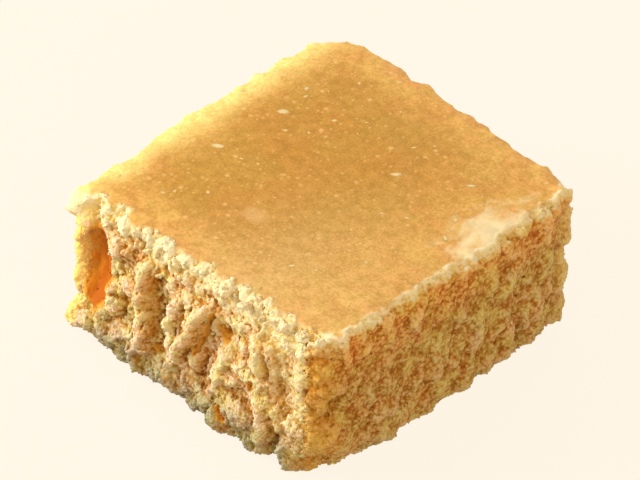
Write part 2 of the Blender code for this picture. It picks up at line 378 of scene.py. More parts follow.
def solid_distance(node):
    """The distance to the solid's surface on a grid, below zero inside, and the grid's lowest corner."""
    points, joined = np.unique(np.round(places_of(node.data), 4), axis=0, return_inverse=True)
    grid = openvdb.FloatGrid.createLevelSetFromPolygons(
        points.astype(np.float32),
        triangles=joined.reshape(-1)[triangles_of(node.data)].astype(np.uint32),
        transform=openvdb.createLinearTransform(voxelSize=STEP),
        halfWidth=BAND,
    )
    first, last = (np.array(corner) for corner in grid.evalActiveVoxelBoundingBox())
    values = np.empty(last - first + 1, np.float32)
    grid.copyToArray(values, ijk=tuple(int(i) for i in first))
    return values, first


def mesh_of(values, first):
    """The surface where the grid's values cross zero."""
    grid = openvdb.FloatGrid(background=float(values.max()))
    grid.transform = openvdb.createLinearTransform(voxelSize=STEP)
    grid.copyFromArray(values, ijk=tuple(int(i) for i in first))
    points, _, quads = grid.convertToPolygons(isovalue=0.0, adaptivity=0.0)
    points, faces = main_part(points, quads[:, ::-1].astype(np.int32))
    points[:, 2] = np.maximum(points[:, 2], 0.0)
    mesh = new_mesh("barfi_body", points, faces)
    mesh.validate()
    return mesh


def main_part(points, faces):
    """The points and faces of the largest connected part, without loose scraps."""
    label = np.arange(len(points))
    ends = np.concatenate([faces, np.roll(faces, 1, axis=1)])
    near, far = ends[: len(faces)].ravel(), ends[len(faces) :].ravel()
    while True:
        lowest = np.minimum(label[near], label[far])
        joined = label.copy()
        np.minimum.at(joined, near, lowest)
        np.minimum.at(joined, far, lowest)
        joined = joined[joined]
        if (joined == label).all():
            break
        label = joined
    kept = label == np.bincount(label).argmax()
    moved = np.cumsum(kept) - 1
    return points[kept], moved[faces[kept[faces[:, 0]]]]


def thinned(piece, triangles):
    """Leaves the piece with this many triangles."""
    piece.data.calc_loop_triangles()
    fewer = piece.modifiers.new("fewer", "DECIMATE")
    fewer.ratio = min(1.0, triangles / len(piece.data.loop_triangles))
    graph = bpy.context.evaluated_depsgraph_get()
    finished = bpy.data.meshes.new_from_object(piece.evaluated_get(graph))
    dense = piece.data
    piece.modifiers.clear()
    piece.data = finished
    bpy.data.meshes.remove(dense)
    finished.name = piece.name


def cut_distance(outline):
    """How far each cell of a flat mask is inside its outline."""
    edge = outline & ~(
        np.roll(outline, 1, 0) & np.roll(outline, -1, 0) & np.roll(outline, 1, 1) & np.roll(outline, -1, 1)
    )
    rim = np.argwhere(edge).astype(np.float32)
    cells = np.argwhere(outline).astype(np.float32)
    nearest = np.empty(len(cells), np.float32)
    for start in range(0, len(cells), RIM_PART):
        part = cells[start : start + RIM_PART]
        squares = ((part[:, None, :] - rim[None, :, :]) ** 2).sum(2)
        nearest[start : start + RIM_PART] = np.sqrt(squares.min(1))
    inside = np.zeros(outline.shape, np.float32)
    inside[outline] = nearest * STEP
    return inside


def top_of(distance, height):
    """The height of the surface over each column, and which columns hold some of it."""
    inside = distance < 0.0
    columns = inside.any(axis=2)
    at = np.clip(len(height) - 1 - np.argmax(inside[:, :, ::-1], axis=2), 0, len(height) - 2)
    under = np.take_along_axis(distance, at[:, :, None], 2)[:, :, 0]
    over = np.take_along_axis(distance, at[:, :, None] + 1, 2)[:, :, 0]
    surface = height[at] + STEP * under / np.minimum(under - over, -1e-6)
    return np.where(columns, surface, 0.0).astype(np.float32), columns


def shown_rim(at):
    """1 along the two rims that are crumbled, and 0 along the two clean ones behind."""
    return rising(at[:, 0] - at[:, 1], -1.5, 3.0)


def in_hollow(places):
    """1 in the smooth hollow of the broken wall, and 0 away from it."""
    off_x = (places[:, 0] - HOLLOW[0]) / HOLLOW_SIZE[0]
    off_z = (places[:, 2] - HOLLOW[1]) / HOLLOW_SIZE[1]
    return eased(2.2 * (1.0 - np.hypot(off_x, off_z))) * rising(places[:, 1], -15.0, -2.0)


def facing(slope_x, slope_y):
    """How squarely the surface faces the broken wall's side, the right, and the two sides behind."""
    front = np.clip(-slope_y, 0.0, 1.0)
    right = np.clip(slope_x, 0.0, 1.0)
    behind = np.clip(slope_y, 0.0, 1.0) + np.clip(-slope_x, 0.0, 1.0)
    return front, right, np.clip(behind, 0.0, 1.0)


def quiet(places, front, behind):
    """How smooth the crumb is, from 0 to 1: in the hollow, at the left corner and under the clean rims."""
    x, _, z = places.T
    strip = front * rising(x, -16.8, -1.0) * rising(z, 4.5, 2.0)
    rims = rising(z, 13.5, 3.5) * np.maximum(0.75 * behind, 0.7 * rising(x, -15.0, -1.5))
    return np.maximum.reduce([0.92 * in_hollow(places), rims, 0.8 * strip])


def pale_share(places, front, right):
    """How pale and dry the crumb is: all along the rim, and in tongues down the walls."""
    x, y, z = places.T
    wander = value_noise(places * (1.0, 1.0, 0.45), 1.9, SEED + 8)[:, 0]
    by_corner = np.exp(-(((x - 13.5) / 4.5) ** 2))
    reach = 0.45 + (1.1 + 2.2 * by_corner) * front - 0.25 * right
    reach = reach + np.clip(wander, 0.0, 1.0) * (1.2 + 3.8 * front - 1.0 * right)
    away = np.stack([np.hypot(x - lump_x, y - lump_y) for lump_x, lump_y in RIM_LUMPS]).min(0)
    usual = 0.72 - (0.34 - 0.40 * np.clip(wander, -0.4, 0.8)) * right
    whiter = usual + (1.0 - usual) * np.exp(-((away / RIM_LUMP_REACH) ** 2))
    return whiter * eased(1.0 - (19.5 - z - reach) / (1.1 - 0.5 * right))


def stroke_relief(places):
    """How far the shards and cracks of the broken wall stand out at each place."""
    relief = np.zeros(len(places), np.float32)
    for x_from, z_from, x_to, z_to, half_width, out in STROKES:
        run = np.array((x_to - x_from, z_to - z_from))
        off = places[:, ::2] - (x_from, z_from)
        share = np.clip(off @ run / (run @ run), 0.0, 1.0)
        away = np.linalg.norm(off - share[:, None] * run, axis=1) / half_width
        relief += out * eased(STROKE_EDGE * (1.0 - away))
    return relief


def crumb_relief(places, coarse, calm, front):
    """How far the crumb stands out of the solid's surface at each place."""
    warp = value_noise(places, 1.9, SEED, 3)
    crinkle = value_noise(places, 0.7, SEED + 9, 3)
    bent = places + 0.50 * warp + 0.16 * crinkle
    rough = 0.5 + 0.5 * value_noise(places, 2.6, SEED + 4)[:, 0]
    shard = fragments(bent, SHARD, SEED + 1, 0.10)
    flake = fragments(bent, FLAKE, SEED + 10, 0.10)
    small = fragments(places + 0.25 * warp, FINE, SEED + 2, 0.22) - 0.45
    sand = value_noise(places, SAND, SEED + 3)[:, 0]
    relief = (0.06 + (0.20 + 0.26 * rough) * coarse) * (np.maximum(shard, flake) - 0.65)
    relief += (0.12 + 0.08 * coarse) * (0.6 + 0.6 * rough) * small + 0.10 * sand + 0.03 * crinkle[:, 0]
    relief += eased(2.0 * front - 0.6) * stroke_relief(places + 0.22 * crinkle)
    return relief * (1.0 - calm)


def rim_crumbs(surface, skin, low):
    """Middles and radii of the crumbs that have gathered on the two broken rims."""
    draw = np.random.default_rng(SEED + 21)
    marked = np.array([(min(x, RIGHT_RIM), y, RIM_LUMP_HEIGHT) for x, y in RIM_LUMPS])
    cells = np.argwhere((surface > RIM_FROM) & (skin < 0.5))
    at = low[:2] + STEP * cells
    thickly = np.where(at[:, 1] > LEFT_RIM_ENDS, RIGHT_CRUMBS, 1.0)
    weight = shown_rim(at) * rising(at[:, 0], -16.5, 1.5) * thickly
    chosen = draw.choice(len(at), CRUMBS, p=weight / weight.sum())
    middles = np.concatenate([marked, np.column_stack([at[chosen], surface[tuple(cells[chosen].T)]])])

    counts = (len(marked), CRUMBS)
    smallest, largest = (np.repeat(pair, counts) for pair in zip(RIM_LUMP_RADIUS, CRUMB_RADIUS))
    radius = smallest + (largest - smallest) * draw.random(sum(counts)) ** 2.2
    radii = radius[:, None] * draw.uniform(0.65, 1.2, (sum(counts), 3))
    sunk = np.repeat((RIM_LUMP_SUNK, CRUMB_SUNK), counts)
    middles[:, 2] = np.minimum(middles[:, 2] - sunk * radii[:, 2], HIGHEST - radii[:, 2])
    return middles, radii


def joined_crumbs(distance, low, middles, radii):
    """Adds rounded crumbs to the grid, with a soft fillet where they meet what is there."""
    for middle, radius in zip(middles, radii):
        reach = radius.max() + FILLET
        first = np.maximum(np.floor((middle - reach - low) / STEP).astype(int), 0)
        last = np.minimum(np.ceil((middle + reach - low) / STEP).astype(int) + 1, distance.shape)
        block = tuple(slice(a, b) for a, b in zip(first, last))
        places = low + STEP * (np.moveaxis(np.indices(last - first), 0, -1) + first)
        bend = CRUMB_BEND * value_noise(places.reshape(-1, 3), CRUMB_BEND_SIZE, SEED + 22, 3)
        off = (places + bend.reshape(places.shape) - middle) / radius
        ball = (np.linalg.norm(off, axis=-1) - 1.0) * radius.min()
        share = np.clip(0.5 + 0.5 * (distance[block] - ball) / FILLET, 0.0, 1.0)
        joined = distance[block] + share * (ball - distance[block]) - FILLET * share * (1.0 - share)
        distance[block] = joined.astype(np.float32)
    return distance


def gaps_filled(distance, height, flat):
    """The grid without its deepest gaps. They are filled most behind and under the rim."""
    shown = shown_rim(flat).reshape(distance.shape[:2])
    deepest = (DEEPEST_GAP * (0.2 + 0.8 * shown)).astype(np.float32)
    deepest = deepest[:, :, None] * (1.0 - 0.5 * rising(height, 16.2, 1.5))
    return np.minimum(distance, blurred(distance, GAP_BLUR) + deepest)


def skin_maps(distance, height, low, flat):
    """Flat maps of the top: its height, the crown's height, the way in from the rim, and the skin."""
    surface, columns = top_of(distance, height)
    layer = int(round((surface.max() - CUT_BELOW_TOP - low[2]) / STEP))
    edge = cut_distance(distance[:, :, layer] < 0.0)
    level = columns & (edge > LEVEL_FROM)
    share = blurred(level.astype(np.float32), SKIN_BLUR)
    crown = blurred(np.where(level, surface, 0.0), SKIN_BLUR) / np.maximum(share, 1e-4)
    crown = np.where(share > 1e-3, crown, surface)

    # The skin's edge wanders most along the broken wall
    ragged = np.clip(blurred(np.gradient(edge, STEP)[1], 0.5), 0.0, 1.0)
    spots = np.concatenate([flat, np.zeros((len(flat), 1))], axis=1).astype(np.float32)
    wander = value_noise(spots, 2.4, SEED + 6)[:, 0].reshape(edge.shape)
    nibble = value_noise(spots, 0.9, SEED + 7)[:, 0].reshape(edge.shape)
    reach = 0.28 + 0.25 * ragged + (0.10 + 0.55 * ragged) * wander + (0.14 + 0.26 * ragged) * nibble
    return surface, crown, edge, eased((edge - reach) / 0.30)


def carved(distance, height, low, near_top):
    """The grid with its crumb carved in, and the slopes of the surface before that."""
    slope = [part.astype(np.float32) for part in np.gradient(blurred(distance, SLOPE_BLUR), STEP)]
    band = (np.abs(distance) < CRUMB_BAND) & (height[None, None, :] > -0.6) & (near_top < 0.98)
    places = (low + STEP * np.argwhere(band)).astype(np.float32)
    front, right, behind = facing(slope[0][band], slope[1][band])
    coarse = eased(0.55 + 0.9 * front - 0.5 * right) * (0.7 + 0.3 * rising(places[:, 2], 1.5, 3.0))
    calm = np.maximum(near_top[band], quiet(places, front, behind))
    distance[band] -= in_parts(crumb_relief, places, coarse, calm, front)
    return distance, slope


def keep_numbers(mesh, distance, slope, low, crown, edge, skin):
    """Keeps on the mesh the numbers that the material reads."""
    at = places_of(mesh)
    x, y, z = at.T
    front, right, behind = facing(sampled(slope[0], low, at), sampled(slope[1], low, at))
    upward = np.clip(sampled(slope[2], low, at), 0.0, 1.0)
    proud = z - sampled(crown, low[:2], at[:, :2])
    whole = sampled(skin, low[:2], at[:, :2]) * rising(z, 17.8, 1.0) * eased(1.6 - proud / 0.10)

    # The right wall and the slanted corner lie in shade, and the material paints them browner and darker
    # as painted shade
    cut = rising(x + y, -3.4, 1.4) * rising(x - y, 33.0, 1.5)
    shaded = np.maximum(right, cut * (1.0 - whole))

    # Yellow left end of the broken wall, with a pale tip at its top
    corner = front * rising(x, -16.2, -1.2) * rising(z, 1.0, 2.0)
    tip = rising(x, -14.8, -1.5) * rising(y, -15.5, -1.5) * rising(z, 15.9, 1.2)

    # Painted light: in the shade the crust stays pale mostly where it faces up
    crusted = pale_share(at, front, right) * (1.0 - 0.75 * shaded * (1.0 - eased(1.8 * upward)))
    near = 0.40 * (1.0 - shaded) * front * rising(x, 9.0, 4.0) * rising(z, 6.0, 4.0)
    pale = np.maximum.reduce([crusted * (1.0 - 0.6 * corner), 0.85 * tip, near])
    # Deep cracks take the hollow's painted orange glow and shade
    pits = np.clip(-stroke_relief(at) / PIT_DEPTH, 0.0, 1.0)
    filled = np.clip(0.5 - distance / STEP, 0.0, 1.0).astype(np.float32)
    # fine and broad say how far each place stands out of the crumb around it, and the colour paints shade
    # and highlight by them
    numbers = {
        "fine": 1.0 - 2.0 * sampled(blurred(filled, 0.30), low, at),
        "broad": 1.0 - 2.0 * sampled(blurred(filled, 0.95), low, at),
        "skin": whole,
        "edge": sampled(edge, low[:2], at[:, :2]),
        "pale": pale * (1.0 - whole),
        "corner": np.maximum(corner, tip),
        "calm": quiet(at, front, behind),
        "shaded": shaded,
        "hollow": np.maximum(in_hollow(at), 0.8 * front * pits),
    }
    for name, values in numbers.items():
        keep_number(mesh, name, values)


def body(node):
    """The whole sweet as one closed mesh, with its crumb carved in."""
    distance, first = solid_distance(node)
    low = first * STEP
    box_low, box_high = (np.array(corner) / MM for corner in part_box("barfi"))
    distance = blurred(distance, FACET_BLUR)
    along, height = (
        (low[axis] + STEP * np.arange(distance.shape[axis])).astype(np.float32) for axis in (1, 2)
    )
    flat = np.argwhere(np.ones(distance.shape[:2], bool)) * STEP + low[:2]
    distance = gaps_filled(distance, height, flat)
    surface, crown, edge, skin = skin_maps(distance, height, low, flat)

    # Over the skin the surface is the smooth crown, and elsewhere the solid's own
    above = height[None, None, :] - crown[:, :, None]
    near_top = rising(height, 17.4, 1.2)[None, None, :] * skin[:, :, None]
    distance = distance + near_top * (np.maximum(above, distance.min()) - distance)
    distance = joined_crumbs(distance, low, *rim_crumbs(surface, skin, low))
    distance = np.minimum(distance, blurred(distance, PIT_BLUR) + DEEPEST_PIT)
    distance, slope = carved(distance, height, low, near_top)

    # Nothing goes through the floor, or out of the solid's box at the top and the broken wall
    distance = np.maximum(distance, np.maximum(-height, height - box_high[2])[None, None, :])
    distance = np.maximum(distance, (box_low[1] - along)[None, :, None]).astype(np.float32)

    piece = link(bpy.data.objects.new("barfi_body", mesh_of(distance, first)))
    thinned(piece, BODY_TRIANGLES)
    piece.data.shade_smooth()
    keep_numbers(piece.data, distance, slope, low, crown, edge, skin)
    return piece


def turns(draw, count):
    """Random rotations."""
    q = draw.standard_normal((count, 4))
    w, x, y, z = (q / np.linalg.norm(q, axis=1, keepdims=True)).T
    rows = (
        (1 - 2 * (y * y + z * z), 2 * (x * y - w * z), 2 * (x * z + w * y)),
        (2 * (x * y + w * z), 1 - 2 * (x * x + z * z), 2 * (y * z - w * x)),
        (2 * (x * z - w * y), 2 * (y * z + w * x), 1 - 2 * (x * x + y * y)),
    )
    return np.moveaxis(np.array(rows), 2, 0)


def on_walls(at, numbers):
    """Where grains cling: not on the skin, at the foot, on smooth crumb or along the clean rims."""
    clean = rising(at[:, 2], 17.2, 1.0) * (1.0 - shown_rim(at))
    return (1.0 - numbers["skin"]) * (at[:, 2] > 0.5) * (1.0 - 0.9 * numbers["calm"]) * (1.0 - clean)


def loose_grains(name, carrier):
    """Grains that cling to the walls, as one mesh. Each takes its colour from where it sits."""
    draw = np.random.default_rng(SEED + 20)
    mesh = carrier.data
    corners = triangles_of(mesh)
    at = places_of(mesh)
    numbers = {key: number_of(mesh, key) for key in GRAIN_NUMBERS}
    first, second, third = (at[corners[:, i]] for i in range(3))
    area = np.linalg.norm(np.cross(second - first, third - first), axis=1)
    weight = area * np.clip(on_walls(at, numbers), 0.0, 1.0)[corners].mean(1)
    carriers = corners[draw.choice(len(corners), GRAINS, p=weight / weight.sum())]
    share = draw.dirichlet((1.0, 1.0, 1.0), GRAINS)
    centre = np.einsum("ij,ijk->ik", share, at[carriers])
    size = GRAIN_RADIUS[0] + np.ptp(GRAIN_RADIUS) * draw.random(GRAINS) ** 2

    ball = bmesh.new()
    bmesh.ops.create_icosphere(ball, subdivisions=1, radius=1.0)
    shape = np.array([corner.co for corner in ball.verts])
    faces = np.array([[corner.index for corner in face.verts] for face in ball.faces])
    ball.free()
    lumpy = 1.0 + 0.22 * draw.standard_normal((GRAINS, len(shape), 1)).clip(-1.5, 1.5)
    stretch = draw.uniform(0.45, 1.35, (GRAINS, 1, 3))
    turned = shape[None] * lumpy * stretch @ turns(draw, GRAINS)
    places = centre[:, None] + turned * size[:, None, None]
    places[:, :, 2] = np.maximum(places[:, :, 2], 0.02)
    faces = faces[None] + (np.arange(GRAINS) * len(shape))[:, None, None]
    grains = new_mesh(name, places.reshape(-1, 3), faces.reshape(-1, 3))

    # Painted light: what faces up is paler, and in the shade only what faces up is pale
    lit = eased(0.3 + turned[:, :, 2] / np.linalg.norm(turned, axis=2)).ravel()
    shaded = np.repeat(np.einsum("ij,ij->i", share, numbers["shaded"][carriers]), len(shape))
    for key, values in numbers.items():
        own = np.einsum("ij,ij->i", share, values[carriers])
        if key == "fine":
            own = own + draw.uniform(-0.25, 0.40, GRAINS)
        own = np.repeat(own, len(shape))
        if key == "skin":
            own = np.zeros_like(own)
        if key == "pale":
            own = own * (1.0 - (0.5 + 0.5 * shaded) * (1.0 - lit))
        keep_number(grains, key, own)
    grains.shade_smooth()
    return link(bpy.data.objects.new(name, grains))


def loose_flecks(name, carrier):
    """Thin pale slivers that lie in the skin, as one mesh."""
    draw = np.random.default_rng(SEED + 30)
    tree = BVHTree.FromPolygons(places_of(carrier.data).tolist(), triangles_of(carrier.data).tolist())
    low, high = (np.array(corner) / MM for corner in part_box("barfi"))
    rows = list(FLECKS)
    for _ in range(SMALL_FLECKS):
        x, y = draw.uniform(low[:2] + FLECK_MARGIN, high[:2] - (FLECK_MARGIN_RIGHT, FLECK_MARGIN))
        length = SMALL_FLECK_LENGTH[0] + np.ptp(SMALL_FLECK_LENGTH) * draw.random() ** 2
        rows.append((x, y, length, draw.uniform(0.0, 180.0)))
    made = bmesh.new()
    middles = []
    for x, y, length, heading in rows:
        above = tree.ray_cast(Vector((x, y, high[2] + 5.0)), Vector((0.0, 0.0, -1.0)))[0]
        shape = bmesh.ops.create_icosphere(made, subdivisions=3, radius=1.0)["verts"]
        slender = FLECK_SLENDER * draw.uniform(0.7, 1.3)
        middles += [corner.co.z**2 * min(1.0, 0.45 + length) for corner in shape]
        turn = Matrix.Rotation(math.radians(heading), 3, "Z")
        for corner in shape:
            uneven = 1.0 + 0.12 * draw.standard_normal()
            along = corner.co.x * length * uneven
            across = corner.co.y * length * slender * uneven
            height = min(above.z + corner.co.z * FLECK_HEIGHT, high[2])
            corner.co = Vector((above.x, above.y, height)) + turn @ Vector((along, across, 0.0))
    bmesh.ops.scale(made, vec=(MM, MM, MM), verts=made.verts)
    flecks = bpy.data.meshes.new(name)
    made.to_mesh(flecks)
    made.free()
    flecks.shade_smooth()
    flecks.set_sharp_from_angle(angle=math.radians(60.0))
    keep_number(flecks, "middle", middles)
    return link(bpy.data.objects.new(name, flecks))


class Shader:
    """Adds nodes to one material and joins them up."""

    def __init__(self, name):
        self.material = bpy.data.materials.new(name)
        self.material.use_nodes = True
        self.tree = self.material.node_tree
        self.surface = self.tree.nodes["Principled BSDF"]

    def node(self, kind, **settings):
        made = self.tree.nodes.new(kind)
        for name, value in settings.items():
            setattr(made, name, value)
        return made

    def join(self, value, socket):
        """Links another node's output to the socket, or sets the socket to a number or a colour."""
        if isinstance(value, bpy.types.NodeSocket):
            self.tree.links.new(value, socket)
        elif socket.type == "RGBA":
            socket.default_value = (*value, 1.0)
        else:
            socket.default_value = value

    def put(self, **settings):
        """Joins each value to the surface's input of that name."""
        for name, value in settings.items():
            self.join(value, self.surface.inputs[name.replace("_", " ")])

    def attribute(self, name):
        return self.node("ShaderNodeAttribute", attribute_name=name).outputs["Fac"]

    def math(self, operation, *values):
        made = self.node("ShaderNodeMath", operation=operation)
        for value, socket in zip(values, made.inputs):
            self.join(value, socket)
        return made.outputs[0]

    def product(self, a, b):
        return self.math("MULTIPLY", a, b)

    def total(self, base, *terms):
        """The base plus each value times its weight."""
        for value, weight in terms:
            base = self.math("MULTIPLY_ADD", value, weight, base)
        return base

    def ramp(self, value, low, high):
        """0 at low and 1 at high, eased between them."""
        made = self.node("ShaderNodeMapRange", interpolation_type="SMOOTHSTEP")
        self.join(value, made.inputs["Value"])
        made.inputs["From Min"].default_value = low
        made.inputs["From Max"].default_value = high
        return made.outputs["Result"]

    def mix(self, share, a, b, blend="MIX"):
        made = self.node("ShaderNodeMix", data_type="RGBA", blend_type=blend)
        self.join(share, made.inputs[0])
        self.join(a, made.inputs[6])
        self.join(b, made.inputs[7])
        return made.outputs[2]

    def over(self, colour, new, share, strength):
        """The colour with a new one laid over it, as far as the share times the strength says."""
        return self.mix(self.product(share, strength), colour, new)

    def times(self, a, b):
        return self.mix(1.0, a, b, "MULTIPLY")

    def tinted(self, colour, tint, share):
        return self.times(colour, self.mix(share, WHITE, tint))

    def mix_number(self, share, a, b):
        made = self.node("ShaderNodeMix", data_type="FLOAT")
        self.join(share, made.inputs[0])
        self.join(a, made.inputs[2])
        self.join(b, made.inputs[3])
        return made.outputs[0]

    def bands(self, value, stops):
        """A run of colours, each at its own value from 0 to 1."""
        made = self.node("ShaderNodeValToRGB")
        ramp = made.color_ramp
        for at, colour in stops[1:-1]:
            ramp.elements.new(at).color = (*colour, 1.0)
        for element, (at, colour) in zip((ramp.elements[0], ramp.elements[-1]), (stops[0], stops[-1])):
            element.position = at
            element.color = (*colour, 1.0)
        self.join(value, made.inputs["Fac"])
        return made.outputs["Color"]

    def noise(self, scale, detail=2.0, stretch=None, distortion=0.0):
        made = self.node("ShaderNodeTexNoise")
        made.inputs["Scale"].default_value = scale
        made.inputs["Detail"].default_value = detail
        made.inputs["Distortion"].default_value = distortion
        self.join(self.place(stretch), made.inputs["Vector"])
        return made.outputs["Fac"]

    def cells(self, scale):
        """Rounded grains: their distance is 0 in the middle of each."""
        made = self.node("ShaderNodeTexVoronoi")
        made.inputs["Scale"].default_value = scale
        self.join(self.place(), made.inputs["Vector"])
        return made

    def place(self, stretch=None):
        spot = self.node("ShaderNodeTexCoord").outputs["Object"]
        if stretch is None:
            return spot
        made = self.node("ShaderNodeMapping")
        made.inputs["Scale"].default_value = stretch
        self.join(spot, made.inputs["Vector"])
        return made.outputs["Vector"]

    def spot(self, axis):
        """The place on one axis, in metres."""
        made = self.node("ShaderNodeSeparateXYZ")
        self.join(self.place(), made.inputs[0])
        return made.outputs[axis]

    def away_from(self, middle, size):
        """How far off the middle of an ellipse on X and Y: 1 on the ellipse."""
        made = self.node("ShaderNodeMapping")
        made.inputs["Scale"].default_value = (1.0 / (size[0] * MM), 1.0 / (size[1] * MM), 0.0)
        made.inputs["Location"].default_value = (-middle[0] / size[0], -middle[1] / size[1], 0.0)
        self.join(self.place(), made.inputs["Vector"])
        length = self.node("ShaderNodeVectorMath", operation="LENGTH")
        self.join(made.outputs["Vector"], length.inputs[0])
        return length.outputs["Value"]

    def bump(self, height, strength, distance):
        made = self.node("ShaderNodeBump")
        made.inputs["Strength"].default_value = strength
        made.inputs["Distance"].default_value = distance
        self.join(height, made.inputs["Height"])
        return made.outputs["Normal"]


def skin_colour(made):
    """Mottled amber with pale specks, with painted glow lighter towards the rims and yellow along the left
    rim, and a pale patch by the right one.
    """
    edge = made.attribute("edge")
    across = made.spot("X")

    # Painted glow: lighter towards the rim, the front corner and the right, and yellow on the left, as
    # light through the edges
    colour = made.mix(made.ramp(made.noise(140.0, 4.0), 0.36, 0.64), *AMBER)
    light = made.mix(made.ramp(made.noise(420.0, 4.0), 0.3, 0.7), *LIGHT_AMBER)
    inward = made.total(edge, (made.noise(190.0), 6.0))
    colour = made.mix(made.ramp(inward, 11.0, 2.8), colour, light)
    near = made.ramp(made.away_from(FRONT_CORNER, CORNER_REACH), 1.0, 0.2)
    colour = made.over(colour, CORNER_AMBER, near, 0.6)
    colour = made.over(colour, light, made.ramp(across, 2.0 * MM, 16.0 * MM), 0.6)
    yellow = made.total(across, (made.noise(260.0, 3.0), 4.0 * MM))
    colour = made.mix(made.ramp(yellow, -12.2 * MM, -16.8 * MM), colour, LEFT_YELLOW)

    # Mottling, specks and dust
    cloud = made.total(0.0, (made.noise(900.0, 3.0), 0.5), (made.noise(3600.0), 0.5))
    colour = made.times(colour, made.mix(made.ramp(cloud, 0.30, 0.70), *CLOUD_TINTS))
    specks = made.cells(620.0)
    middle = made.total(specks.outputs["Distance"], (made.noise(3000.0), 0.16))
    chosen = made.ramp(specks.outputs["Color"], 0.30, 0.75)
    colour = made.over(colour, SPECK, made.product(made.ramp(middle, 0.36, 0.08), chosen), 0.75)
    dust = made.cells(1500.0)
    chosen = made.ramp(dust.outputs["Color"], 0.45, 0.8)
    dusty = made.product(made.ramp(dust.outputs["Distance"], 0.40, 0.16), chosen)
    colour = made.over(colour, DUST, dusty, 0.45)

    # The pale patch, a smudge and the pale lip along the right rim
    near = made.math("SUBTRACT", 0.05, made.away_from(HAZE, HAZE_SIZE))
    pale_patch = made.total(near, (made.noise(520.0, 5.0, (1.0, 0.6, 1.0), 0.65), 2.2))
    colour = made.over(colour, HAZE_COLOUR, made.ramp(pale_patch, 0.05, 1.15), 0.88)
    smudge = made.total(made.away_from(SMUDGE, SMUDGE_SIZE), (made.noise(700.0, 3.0), -0.8))
    colour = made.over(colour, SMUDGE_COLOUR, made.ramp(smudge, 0.7, -0.1), 0.38)
    lip = made.total(edge, (made.noise(800.0, 3.0), 1.6))
    lip = made.product(made.ramp(lip, 1.7, 1.1), made.ramp(across, 16.5 * MM, 18.0 * MM))
    return made.over(colour, LIP_COLOUR, lip, 0.9)


def sandiness(made):
    """How strongly the single grains show: most on the right wall, and least where the crumb is smooth."""
    walls = made.total(0.80, (made.attribute("shaded"), 0.20))
    return made.product(walls, made.total(1.0, (made.attribute("calm"), -0.80)))


def wall_colour(made, grain):
    """Pale crests, tan flanks and orange gaps, in patches and from grain to grain, as painted highlight on
    the crests and painted shade in the gaps.
    """
    pale = made.attribute("pale")
    shaded = made.attribute("shaded")
    fine = made.attribute("fine")
    rise = made.spot("Z")
    across = made.spot("X")

    # How high on the crumb each place is, roughened with finer detail. The colour follows it: painted
    # shade in the gaps and painted highlight on the crests
    sandy = made.total(0.07, (grain.outputs["Color"], 0.50), (grain.outputs["Distance"], -0.70))
    streaks = made.total(-0.25, (made.noise(620.0, 3.0, (1.0, 1.0, 0.40)), 0.50))
    relief = made.total(
        made.product(sandy, sandiness(made)),
        (fine, 0.90),
        (made.attribute("broad"), 0.40),
        (made.noise(330.0), 0.40),
        (made.noise(4600.0), 0.35),
        # painted shade: the right wall and the slanted corner sit lower on the colours
        (streaks, shaded),
        (shaded, -0.14),
        (pale, 0.20),
    )
    colour = made.bands(made.math("ADD", relief, 0.20), WALL_COLOURS)
    # Painted shade: darker in the thin cracks
    colour = made.tinted(colour, CRACK_SHADE_TINT, made.ramp(fine, -0.18, -0.50))
    colour = made.times(colour, made.mix(made.ramp(made.noise(420.0), 0.35, 0.65), *PATCH_TINTS))

    # Greyer at the foot of the broken wall, and painted shade: browner on the right wall and the slanted
    # corner, and warmer high up on them
    foot = made.product(made.ramp(rise, 7.2 * MM, 1.2 * MM), made.math("SUBTRACT", 1.0, shaded))
    foot = made.product(foot, made.ramp(across, -18.0 * MM, -12.0 * MM))
    colour = made.tinted(colour, FOOT_TINT, foot)
    colour = made.tinted(colour, SHADED_TINT, shaded)
    high = made.product(made.ramp(rise, 11.0 * MM, 18.0 * MM), shaded)
    colour = made.tinted(colour, SHADED_TOP_TINT, high)

    # Painted shade and glow, orange-brown, on the right wall by the front corner, and warmer at the far
    # end of the right wall and at the left end of the broken one
    along = made.total(made.spot("Y"), (made.noise(300.0), 4.0 * MM))
    near_edge_shade = made.product(made.ramp(along, -14.5 * MM, -17.2 * MM), shaded)
    colour = made.over(colour, NEAR_EDGE_SHADE_COLOUR, near_edge_shade, 0.45)
    far_edge = made.product(made.ramp(along, 18.0 * MM, 20.5 * MM), shaded)
    colour = made.over(colour, FAR_EDGE_COLOUR, far_edge, 0.5)
    strip = made.total(made.attribute("corner"), (made.noise(420.0), 0.8))
    colour = made.over(colour, LEFT_STRIP_COLOUR, made.ramp(strip, 0.4, 0.9), 0.9)

    # The pale crust, golden in its gaps as painted shade and cream on its crests as painted highlight, and
    # painted orange glow and shade in the hollow and the pits
    colour = made.over(colour, CRUST_COLOUR, pale, 0.85)
    crest = made.product(pale, made.ramp(relief, 0.20, 0.80))
    colour = made.over(colour, CRUST_CREST_HIGHLIGHT_COLOUR, crest, 0.88)
    # Painted glow and shade: orange in the hollow and the cracks, redder towards the hollow's right
    deeper = made.total(across, (made.noise(500.0, 3.0), 2.0 * MM))
    core = made.mix(made.ramp(deeper, -15.8 * MM, -14.0 * MM), *HOLLOW_GLOW_COLOURS)
    hollow = made.total(made.attribute("hollow"), (made.noise(1400.0, 3.0), 0.30))
    colour = made.mix(made.ramp(hollow, 0.20, 0.55), colour, HOLLOW_EDGE_COLOUR)
    return made.mix(made.ramp(hollow, 0.55, 1.0), colour, core)


def soften(made, weight):
    """Lets some light sink in."""
    made.put(Subsurface_Weight=weight, Subsurface_Radius=SINK_RADIUS, Subsurface_Scale=SINK_SCALE * MM)


